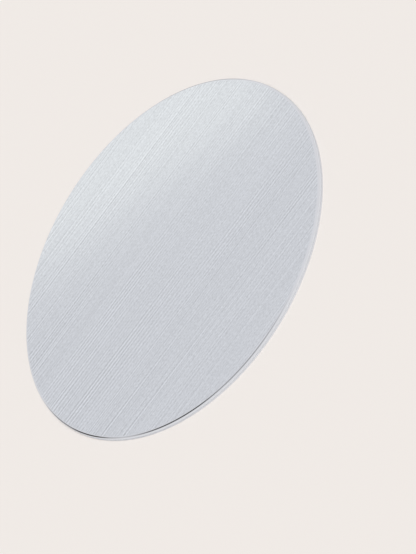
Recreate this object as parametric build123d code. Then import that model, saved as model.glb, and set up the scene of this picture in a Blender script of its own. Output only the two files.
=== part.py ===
from build123d import *
import os

# Magnetic phone mount plate, in millimetres: a blanked disc of brushed steel for a magnetic
# holder to grip, on a double-sided adhesive pad with its release liner still on.
# The origin is the centre of the liner's underside. +Z points out of the brushed face, and
# the brushing runs along X.

# Steel disc
plate_diameter = 35.0
plate_thickness = 0.30

# Cut edge of the steel: a drawn-in roll at the show face, a straight land below it, and a
# broken band that tapers in towards the back
roll_width = 0.22
roll_depth = 0.13
fracture_height = 0.07
fracture_taper = 0.015

# Adhesive pad behind the steel: its rim is set in from the steel's, and slightly hollow
# where the soft sheet sprang back from the cutting die
pad_thickness = 0.12
pad_inset = 0.04
pad_waist = 0.010

# Release liner: a stiffer sheet that reaches past the pad's rim
liner_thickness = 0.08
liner_overhang = 0.04

# Radii and levels that follow
plate_radius = plate_diameter / 2
pad_radius = plate_radius - pad_inset
liner_radius = pad_radius + liner_overhang
liner_top = liner_thickness
pad_top = liner_top + pad_thickness
face_level = pad_top + plate_thickness


def turned(profile):
    """A solid of one full turn of a half section about the plate's axis."""
    return revolve(make_face(profile), Axis.Z, 360)


def steel_plate():
    """The disc, with the section that a blanking die leaves at its rim."""
    land_low = pad_top + fracture_height
    land_high = face_level - roll_depth
    with BuildLine(Plane.XZ) as section:
        back = Line((0, pad_top), (plate_radius - fracture_taper, pad_top))
        fracture = Line(back @ 1, (plate_radius, land_low))
        land = Line(fracture @ 1, (plate_radius, land_high))
        roll_centre = (plate_radius - roll_width, land_high)
        roll = EllipticalCenterArc(roll_centre, roll_width, roll_depth, arc_size=90)
        face = Line(roll @ 1, (0, face_level))
        Line(face @ 1, back @ 0)
    return turned(section.line)


def adhesive_pad():
    """A die-cut disc of soft sheet, with a shallow hollow round its rim."""
    waist_level = (liner_top + pad_top) / 2
    with BuildLine(Plane.XZ) as section:
        under = Line((0, liner_top), (pad_radius, liner_top))
        rim = ThreePointArc(
            under @ 1, (pad_radius - pad_waist, waist_level), (pad_radius, pad_top)
        )
        over = Line(rim @ 1, (0, pad_top))
        Line(over @ 1, under @ 0)
    return turned(section.line)


def release_liner():
    """A plain round sheet, the lowest layer."""
    return extrude(Plane.XY * Circle(liner_radius), liner_thickness)


os.makedirs("parts", exist_ok=True)
export_step(steel_plate(), "parts/steel_plate.step")
export_step(adhesive_pad(), "parts/adhesive_pad.step")
export_step(release_liner(), "parts/release_liner.step")
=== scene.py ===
from math import asin, cos, degrees, pi, radians, sin

import bmesh
import bpy
from mathutils import Matrix, Vector


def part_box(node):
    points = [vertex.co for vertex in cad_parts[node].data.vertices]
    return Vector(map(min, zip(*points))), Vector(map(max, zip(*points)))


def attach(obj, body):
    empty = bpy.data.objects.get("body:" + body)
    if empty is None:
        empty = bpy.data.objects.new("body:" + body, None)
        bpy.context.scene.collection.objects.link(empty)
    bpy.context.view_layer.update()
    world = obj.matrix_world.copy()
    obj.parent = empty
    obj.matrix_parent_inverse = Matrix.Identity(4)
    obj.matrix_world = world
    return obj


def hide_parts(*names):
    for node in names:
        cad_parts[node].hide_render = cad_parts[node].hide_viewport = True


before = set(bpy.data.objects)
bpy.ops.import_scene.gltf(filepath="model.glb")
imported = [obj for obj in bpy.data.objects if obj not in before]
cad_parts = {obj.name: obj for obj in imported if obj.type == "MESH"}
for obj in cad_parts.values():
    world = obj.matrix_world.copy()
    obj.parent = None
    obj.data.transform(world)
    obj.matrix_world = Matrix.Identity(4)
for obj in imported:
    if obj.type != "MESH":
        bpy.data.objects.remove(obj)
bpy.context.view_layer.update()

print("frame loaded:", ", ".join(sorted(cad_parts)))

mm = 0.001
plateLow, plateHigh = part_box("steel_plate")
padLow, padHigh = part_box("adhesive_pad")
linerLow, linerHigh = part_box("release_liner")
turnSteps = 288  # flats round every rim
tiny = 0.0005 * mm  # points closer than this are one


# A shader value: plain arithmetic on it adds the Math nodes
class Value:
    def __init__(self, maker, socket):
        self.maker = maker
        self.socket = socket

    def maths(self, operation, *others, first=None):
        sockets = [self, *others] if first is None else [first, self]
        node = self.maker.make("Math", {"operation": operation}, dict(enumerate(sockets)))
        return Value(self.maker, node.outputs[0])

    def __add__(self, other):
        return self.maths("ADD", other)

    def __radd__(self, other):
        return self.maths("ADD", first=other)

    def __sub__(self, other):
        return self.maths("SUBTRACT", other)

    def __rsub__(self, other):
        return self.maths("SUBTRACT", first=other)

    def __mul__(self, other):
        return self.maths("MULTIPLY", other)

    def __rmul__(self, other):
        return self.maths("MULTIPLY", first=other)

    def __truediv__(self, other):
        return self.maths("DIVIDE", other)

    def __rtruediv__(self, other):
        return self.maths("DIVIDE", first=other)

    def __pow__(self, other):
        return self.maths("POWER", other)

    def __rpow__(self, other):
        return self.maths("POWER", first=other)

    # 0 below low, 1 above high, and a smooth rise between
    def step(self, low, high):
        sockets = {"Value": self, "From Min": low, "From Max": high}
        return self.maker.read("MapRange", "Result", {"interpolation_type": "SMOOTHSTEP"}, sockets)


# Any other node: its type, its settings, then what its sockets hold
class NodeMaker:
    def __init__(self, tree):
        self.tree = tree
        tree.nodes.clear()

    def make(self, kind, settings=None, sockets=None):
        node = self.tree.nodes.new("ShaderNode" + kind)
        for name, value in (settings or {}).items():
            setattr(node, name, value)
        for name, value in (sockets or {}).items():
            if isinstance(value, Value):
                self.tree.links.new(value.socket, node.inputs[name])
            else:
                node.inputs[name].default_value = value
        return node

    def read(self, kind, output, settings=None, sockets=None):
        return Value(self, self.make(kind, settings, sockets).outputs[output])

    def place(self):
        return self.read("TexCoord", "Object")

    def axes(self, vector):
        split = self.make("SeparateXYZ", sockets={0: vector})
        return [Value(self, output) for output in split.outputs]

    def shift(self, vector, offset):
        return self.read("VectorMath", "Vector", {"operation": "ADD"}, {0: vector, 1: offset})

    # Noise from about -0.5 to 0.5, stretched to a size in each direction
    def noise(self, place, size, detail=0.0, turn=0.0, seed=0.0):
        stretched = self.read(
            "Mapping", "Vector", {"vector_type": "TEXTURE"},
            {"Vector": place, "Rotation": (0, 0, radians(turn)), "Scale": size},
        )
        moved = self.shift(stretched, (seed, 2 * seed, seed))
        sockets = {"Vector": moved, "Scale": 1.0, "Detail": detail}
        return self.read("TexNoise", "Fac", sockets=sockets) - 0.5

    def shade(self, color, tone):
        return self.read("VectorMath", "Vector", {"operation": "SCALE"}, {0: color, "Scale": tone})

    # In a Mix node, sockets 6 and 7 and output 2 are the ones for colours
    def mixColor(self, factor, first, second):
        return self.read("Mix", 2, {"data_type": "RGBA"}, {0: factor, 6: first, 7: second})

    def bump(self, height, strength, distance):
        sockets = {"Strength": strength, "Distance": distance, "Height": height}
        return self.read("Bump", "Normal", sockets=sockets)

    def finish(self, shader, kind="OutputMaterial"):
        self.make(kind, sockets={"Surface": shader})


def newMaterial(name):
    material = bpy.data.materials.new(name)
    material.use_nodes = True
    return material, NodeMaker(material.node_tree)


# Half sections in the XZ plane, to be turned about the plate's axis
def joinUp(bm, start, points):
    verts = [] if start is None else [start]
    verts += [bm.verts.new((x, 0, z)) for x, z in points]
    for first, second in zip(verts, verts[1:]):
        bm.edges.new((first, second))
    return verts[-1]


def arcOn(bm, start, centre, degreesTurned, steps):
    result = bmesh.ops.spin(
        bm, geom=[start], cent=(centre[0], 0, centre[1]), axis=(0, 1, 0),
        angle=radians(degreesTurned), steps=steps,
    )
    return [v for v in result["geom_last"] if isinstance(v, bmesh.types.BMVert)][0]


def turnSection(bm):
    bmesh.ops.spin(
        bm, geom=bm.verts[:] + bm.edges[:], cent=(0, 0, 0), axis=(0, 0, 1),
        angle=2 * pi, steps=turnSteps, use_merge=True,
    )
    bmesh.ops.remove_doubles(bm, verts=bm.verts[:], dist=tiny)
    bmesh.ops.recalc_face_normals(bm, faces=bm.faces[:])


def newObject(bm, name, material):
    mesh = bpy.data.meshes.new(name)
    bm.to_mesh(mesh)
    bm.free()
    mesh.materials.append(material)
    mesh.shade_smooth()
    newOne = bpy.data.objects.new(name, mesh)
    bpy.context.scene.collection.objects.link(newOne)
    return newOne


plateSettings = {
    # cut edge: a drawn-in roll, a straight land and a fracture that tapers in below it
    "rollWidth": 0.22 * mm, "rollDepth": 0.13 * mm, "rollSteps": 14,
    "fractureHeight": 0.07 * mm, "fractureTaper": 0.015 * mm,
    "flatRing": 0.10 * mm,  # a ring inside the roll keeps the face's shading flat
    "creaseAngle": 10,
    "faceColor": (0.592, 0.610, 0.652), "faceRoughness": 0.34,
    "polish": 0.3,  # how much smoother the bright lines are
    # brush lines along X: length, width, spacing, depth, seed
    "lines": (60 * mm, 0.10 * mm, 0.18 * mm, 0.35, 8.9),
    # how strongly a line comes again, or its opposite, so many spacings to the side
    "repeats": ((-2, 0.2), (-1, -0.5), (1, -0.5), (2, 0.2)),
    # long patches in which the lines are faint or strong
    "patch": (22 * mm, 1.8 * mm, 1.8 * mm), "patchEdge": 0.25, "patchSeed": 5.5,
    "faint": 0.4, "strong": 1.6,
    # softer marks along X: length, width, depth, turn, seed
    "marks": (
        (30 * mm, 0.10 * mm, 0.11, 0.3, 11.3),
        (0.22 * mm, 0.085 * mm, 0.34, 0.0, 24.9),
        (60 * mm, 1.6 * mm, 0.024, 0.0, 12.6),
    ),
    # the rolled edge, from where the face ends, by its distance in from the outer edge
    "faceEnd": 0.195 * mm, "soft": 0.02 * mm, "rollColor": (0.657, 0.667, 0.704),
    # the wall below it: a bright land with upright streaks, over a grainy fracture
    "wallColor": (0.795, 0.838, 0.896), "wallFade": 0.06 * mm,
    "landRoughness": 0.42, "fractureRoughness": 0.45,
    "streak": (0.06 * mm, 0.06 * mm, 0.8 * mm), "streakSeed": 31.0,
    "streakTone": 0.12, "streakBump": 0.3,
    "grain": (0.03 * mm, 0.03 * mm, 0.03 * mm), "grainSeed": 37.0, "grainTone": 0.20,
    # painted shade: a fine dark line on the rolled edge, a dark reflection painted into the
    # colour, by its distance in from the outer edge
    "paintedShadeLine": (0.035 * mm, 0.150 * mm), "paintedShadeColor": (0.03, 0.029, 0.028),
    # its stretches: direction from +X, reach to each side, strength
    "paintedShadeStretches": (
        (-124, 18, 0.40), (-160, 10, 0.32), (-166, 22, 0.72), (-112, 45, 0.56), (42, 26, 0.30),
    ),
    "bumpStrength": 0.25, "bumpDistance": 0.004 * mm,
}


def brushedSteel():
    look = plateSettings
    material, maker = newMaterial("brushedSteel")
    place = maker.place()
    x, y, z = maker.axes(place)
    radius = (x * x + y * y) ** 0.5
    inset = plateHigh.x - radius
    soft = look["soft"]
    rolled = 1 - inset.step(look["faceEnd"] - soft, look["faceEnd"] + soft)

    # face: lines that come and go in patches, with finer marks between
    length, width, spacing, depth, seed = look["lines"]
    stretch = (length, width, width)
    crest = maker.noise(place, stretch, seed=seed)
    for spacings, share in look["repeats"]:
        aside = maker.shift(place, (0, spacings * spacing, 0))
        crest = crest + maker.noise(aside, stretch, seed=seed) * share
    patches = maker.noise(place, look["patch"], detail=1.0, seed=look["patchSeed"])
    patches = patches.step(-look["patchEdge"], look["patchEdge"])
    brushing = crest * depth * (look["faint"] + patches * (look["strong"] - look["faint"]))
    for length, width, depth, turn, seed in look["marks"]:
        mark = maker.noise(place, (length, width, width), turn=turn, seed=seed)
        brushing = brushing + mark * depth
    brushing = brushing * (1 - rolled)
    faceColor = maker.shade(look["faceColor"], 1 + brushing)

    # wall: the land between these two levels, the fracture below
    landHigh = plateHigh.z - look["rollDepth"]
    landLow = plateLow.z + look["fractureHeight"]
    wall = 1 - z.step(landHigh, landHigh + look["wallFade"])
    fracture = 1 - z.step(landLow - soft / 2, landLow + soft / 2)
    streaks = maker.noise(place, look["streak"], detail=1.0, seed=look["streakSeed"])
    grain = maker.noise(place, look["grain"], detail=2.0, seed=look["grainSeed"])
    wallTone = 1 + streaks * look["streakTone"] + fracture * grain * look["grainTone"]
    wallColor = maker.shade(look["wallColor"], wallTone)

    # painted shade: a fine dark line painted on the rolled edge in stretches round the rim,
    # standing in for a dark reflection
    stretches = []
    for bearing, reach, strength in look["paintedShadeStretches"]:
        turn = radians(bearing)
        towards = (x * cos(turn) + y * sin(turn)) / radius
        stretches.append(towards.step(cos(radians(reach)), 1.0) * strength)
    lineOut, lineIn = look["paintedShadeLine"]
    paintedShade = sum(stretches) * inset.step(lineOut, lineOut + soft)
    paintedShade = paintedShade * (1 - inset.step(lineIn - soft, lineIn))
    paintedShade = paintedShade.maths("MINIMUM", 1.0)

    color = maker.mixColor(rolled, faceColor, (*look["rollColor"], 1))
    color = maker.mixColor(wall, color, wallColor)
    # lay the painted shade over the colour as a dark line
    color = maker.mixColor(paintedShade, color, (*look["paintedShadeColor"], 1))
    roughness = look["faceRoughness"] - brushing * look["polish"]
    roughness = roughness + wall * (look["landRoughness"] - look["faceRoughness"])
    roughness = roughness + fracture * (look["fractureRoughness"] - look["landRoughness"])
    height = brushing + wall * streaks * look["streakBump"] + fracture * grain
    bump = maker.bump(height, look["bumpStrength"], look["bumpDistance"])
    shader = maker.read(
        "BsdfPrincipled", "BSDF",
        sockets={"Base Color": color, "Metallic": 1.0, "Roughness": roughness, "Normal": bump},
    )
    maker.finish(shader)
    return material


def makePlate():
    form = plateSettings
    bm = bmesh.new()
    radius = plateHigh.x
    low, high = plateLow.z, plateHigh.z
    landHigh = high - form["rollDepth"]
    rollCentre = (radius - form["rollWidth"], landHigh)
    rollStart = joinUp(bm, None, [
        (0, low),
        (radius - form["fractureTaper"], low),
        (radius, low + form["fractureHeight"]),
        (radius, landHigh),
    ])
    rollEnd = arcOn(bm, rollStart, rollCentre, -90, form["rollSteps"])
    squash = form["rollDepth"] / form["rollWidth"]
    rollVerts = [v for v in bm.verts if v.co.z > landHigh + tiny]
    toCentre = Matrix.Translation((-rollCentre[0], 0, -rollCentre[1]))
    bmesh.ops.scale(bm, verts=rollVerts, vec=(1, 1, squash), space=toCentre)
    joinUp(bm, rollEnd, [(rollCentre[0] - form["flatRing"], high), (0, high)])
    turnSection(bm)
    plate = newObject(bm, "steelPlate", brushedSteel())
    plate.data.set_sharp_from_angle(angle=radians(form["creaseAngle"]))
    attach(plate, "root")
    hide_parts("steel_plate")
    print("steel plate:", len(plate.data.polygons), "faces")


padSettings = {
    "waist": 0.010 * mm, "rimSteps": 8, "creaseAngle": 30,  # the waist is how hollow the rim is
    "color": (0.690, 0.700, 0.735), "roughness": 0.62,
    "cell": 0.05 * mm, "cellTone": 0.16, "cellSeed": 41.0,
    "clump": 0.6 * mm, "clumpTone": 0.06, "clumpSeed": 43.0,
    "bumpStrength": 0.4, "bumpDistance": 0.01 * mm,
}


def padFoam():
    look = padSettings
    material, maker = newMaterial("padFoam")
    place = maker.place()
    cells = maker.noise(place, (look["cell"],) * 3, detail=2.0, seed=look["cellSeed"])
    clumps = maker.noise(place, (look["clump"],) * 3, detail=1.0, seed=look["clumpSeed"])
    color = maker.shade(look["color"], 1 + cells * look["cellTone"] + clumps * look["clumpTone"])
    bump = maker.bump(cells, look["bumpStrength"], look["bumpDistance"])
    shader = maker.read(
        "BsdfPrincipled", "BSDF",
        sockets={"Base Color": color, "Roughness": look["roughness"], "Normal": bump},
    )
    maker.finish(shader)
    return material


def makePad():
    form = padSettings
    bm = bmesh.new()
    radius = padHigh.x
    halfHeight = (padHigh.z - padLow.z) / 2
    hollowRadius = (halfHeight ** 2 + form["waist"] ** 2) / (2 * form["waist"])
    hollowAngle = 2 * degrees(asin(halfHeight / hollowRadius))
    hollowCentre = (radius - form["waist"] + hollowRadius, padLow.z + halfHeight)
    rimLow = joinUp(bm, None, [(0, padLow.z), (radius, padLow.z)])
    rimHigh = arcOn(bm, rimLow, hollowCentre, hollowAngle, form["rimSteps"])
    joinUp(bm, rimHigh, [(0, padHigh.z)])
    turnSection(bm)
    pad = newObject(bm, "adhesivePad", padFoam())
    pad.data.set_sharp_from_angle(angle=radians(form["creaseAngle"]))
    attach(pad, "root")
    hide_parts("adhesive_pad")
    print("adhesive pad:", len(pad.data.polygons), "faces")


linerSettings = {
    "creaseAngle": 30,
    "color": (0.690, 0.697, 0.722), "roughness": 0.45,
    "fibre": (0.9 * mm, 0.07 * mm, 0.07 * mm), "fibreTone": 0.07, "fibreRoughness": 0.1,
    "fibreLays": ((18, 51.0), (77, 55.0), (131, 59.0)),  # turn and seed of each lay of fibres
    "cloud": 3.0 * mm, "cloudTone": 0.05, "cloudRoughness": 0.2, "cloudSeed": 67.0,
    "bumpStrength": 0.2, "bumpDistance": 0.006 * mm,
}


def linerSheet():
    look = linerSettings
    material, maker = newMaterial("linerSheet")
    place = maker.place()
    fibres = sum(
        maker.noise(place, look["fibre"], detail=1.0, turn=turn, seed=seed)
        for turn, seed in look["fibreLays"]
    )
    clouds = maker.noise(place, (look["cloud"],) * 3, detail=2.0, seed=look["cloudSeed"])
    color = maker.shade(look["color"], 1 + fibres * look["fibreTone"] + clouds * look["cloudTone"])
    roughness = look["roughness"] + clouds * look["cloudRoughness"]
    roughness = roughness + fibres * look["fibreRoughness"]
    bump = maker.bump(fibres, look["bumpStrength"], look["bumpDistance"])
    shader = maker.read(
        "BsdfPrincipled", "BSDF",
        sockets={"Base Color": color, "Roughness": roughness, "Normal": bump},
    )
    maker.finish(shader)
    return material


def makeLiner():
    bm = bmesh.new()
    radius = linerHigh.x
    joinUp(bm, None, [
        (0, linerLow.z), (radius, linerLow.z), (radius, linerHigh.z), (0, linerHigh.z),
    ])
    turnSection(bm)
    liner = newObject(bm, "releaseLiner", linerSheet())
    liner.data.set_sharp_from_angle(angle=radians(linerSettings["creaseAngle"]))
    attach(liner, "root")
    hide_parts("release_liner")
    print("release liner:", len(liner.data.polygons), "faces")


# A pale sheet with a gentle sweep up all round, far from the plate
floorSettings = {
    "color": (0.873, 0.826, 0.791), "radius": 900 * mm,
    "sweepRadius": 1500 * mm, "sweepTurn": 16, "sweepSteps": 12,
}


def makeFloor():
    look = floorSettings
    bm = bmesh.new()
    rim = joinUp(bm, None, [(0, 0), (look["radius"], 0)])
    sweepCentre = (look["radius"], look["sweepRadius"])
    arcOn(bm, rim, sweepCentre, -look["sweepTurn"], look["sweepSteps"])
    turnSection(bm)
    if min(face.normal.z for face in bm.faces) < 0:
        bmesh.ops.reverse_faces(bm, faces=bm.faces[:])
    material, maker = newMaterial("floorPaper")
    maker.finish(maker.read("BsdfDiffuse", "BSDF", sockets={"Color": (*look["color"], 1)}))
    floor = newObject(bm, "floor", material)
    print("floor made")


# The photograph's view: angles in degrees, places in its pixels
cameraSettings = {
    "elevation": 38.206, "azimuth": 8.39, "roll": 58.318,
    "distance": 600 * mm, "frameHeight": 48.927 * mm,
    "frameSize": (416, 554), "facePixel": (169.97, 256.86),
    "filmWidth": 36, "nearClip": 10 * mm,
}


# The unit vector from the plate towards a place seen at these angles from the front
def direction(azimuth, elevation):
    flat = Vector((sin(radians(azimuth)), -cos(radians(azimuth)), 0))
    return flat * cos(radians(elevation)) + Vector((0, 0, sin(radians(elevation))))


def aimAlong(newOne, back, up):
    right = up.cross(back).normalized()
    turn = Matrix((right, back.cross(right), back)).transposed().to_4x4()
    newOne.matrix_world = Matrix.Translation(newOne.location) @ turn


def makeCamera():
    look = cameraSettings
    back = direction(look["azimuth"], look["elevation"])
    side = Vector((0, 0, 1)).cross(back).normalized()
    up = back.cross(side)
    roll = radians(look["roll"])
    right = side * cos(roll) - up * sin(roll)
    top = side * sin(roll) + up * cos(roll)
    width, height = look["frameSize"]
    pixel = look["frameHeight"] / height
    across, down = look["facePixel"]  # where the middle of the face is seen
    aim = Vector((0, 0, plateHigh.z))
    aim += right * (width / 2 - across) * pixel + top * (down - height / 2) * pixel
    data = bpy.data.cameras.new("camera")
    data.sensor_width = look["filmWidth"]
    data.lens = look["filmWidth"] * look["distance"] / look["frameHeight"]
    data.clip_start = look["nearClip"]
    camera = bpy.data.objects.new("camera", data)
    camera.location = aim + back * look["distance"]
    aimAlong(camera, back, top)
    bpy.context.scene.collection.objects.link(camera)
    bpy.context.scene.camera = camera
    print("camera at", [round(v, 4) for v in camera.location])


# The room and the key together light a level sheet to its own colour, and reflections see
# the room as white
lightSettings = {
    "roomShare": 0.55,
    "keyAzimuth": 15, "keyElevation": 60, "keySpread": 40,
    # a dim panel that only reflections see, flat over the floor behind the plate
    "glowPlace": (1.8 * mm, 29.7 * mm, 11.5 * mm), "glowSize": (37.5 * mm, 15.7 * mm),
    "glowTurn": -27.4, "glowLevel": 0.275, "glowColor": (0.960, 1.0, 0.824),
}


def makeLights():
    look = lightSettings
    world = bpy.data.worlds.new("room")
    world.use_nodes = True
    bpy.context.scene.world = world
    maker = NodeMaker(world.node_tree)
    rays = maker.make("LightPath").outputs
    seen = Value(maker, rays["Is Camera Ray"])
    seen = seen.maths("MAXIMUM", Value(maker, rays["Is Glossy Ray"]))
    seen = seen.maths("MAXIMUM", Value(maker, rays["Is Transmission Ray"]))
    strength = look["roomShare"] + seen * (1 - look["roomShare"])
    shader = maker.read(
        "Background", "Background", sockets={"Color": (1, 1, 1, 1), "Strength": strength}
    )
    maker.finish(shader, "OutputWorld")

    key = bpy.data.lights.new("key", "SUN")
    key.angle = radians(look["keySpread"])
    key.energy = (1 - look["roomShare"]) * pi / sin(radians(look["keyElevation"]))
    keyLamp = bpy.data.objects.new("key", key)
    aimAlong(keyLamp, direction(look["keyAzimuth"], look["keyElevation"]), Vector((0, 0, 1)))
    keyLamp.visible_glossy = False
    bpy.context.scene.collection.objects.link(keyLamp)

    glow = bpy.data.lights.new("glow", "AREA")
    glow.shape = "RECTANGLE"
    glow.size, glow.size_y = look["glowSize"]
    glow.energy = look["glowLevel"] * pi * glow.size * glow.size_y
    glow.color = look["glowColor"]
    glowLamp = bpy.data.objects.new("glow", glow)
    glowLamp.location = look["glowPlace"]
    glowLamp.rotation_euler.z = radians(look["glowTurn"])
    glowLamp.visible_diffuse = False
    glowLamp.visible_camera = False
    bpy.context.scene.collection.objects.link(glowLamp)
    print("lights made")


makePlate()
makePad()
makeLiner()
makeFloor()
makeLights()
makeCamera()
bpy.context.scene.view_settings.view_transform = "Standard"
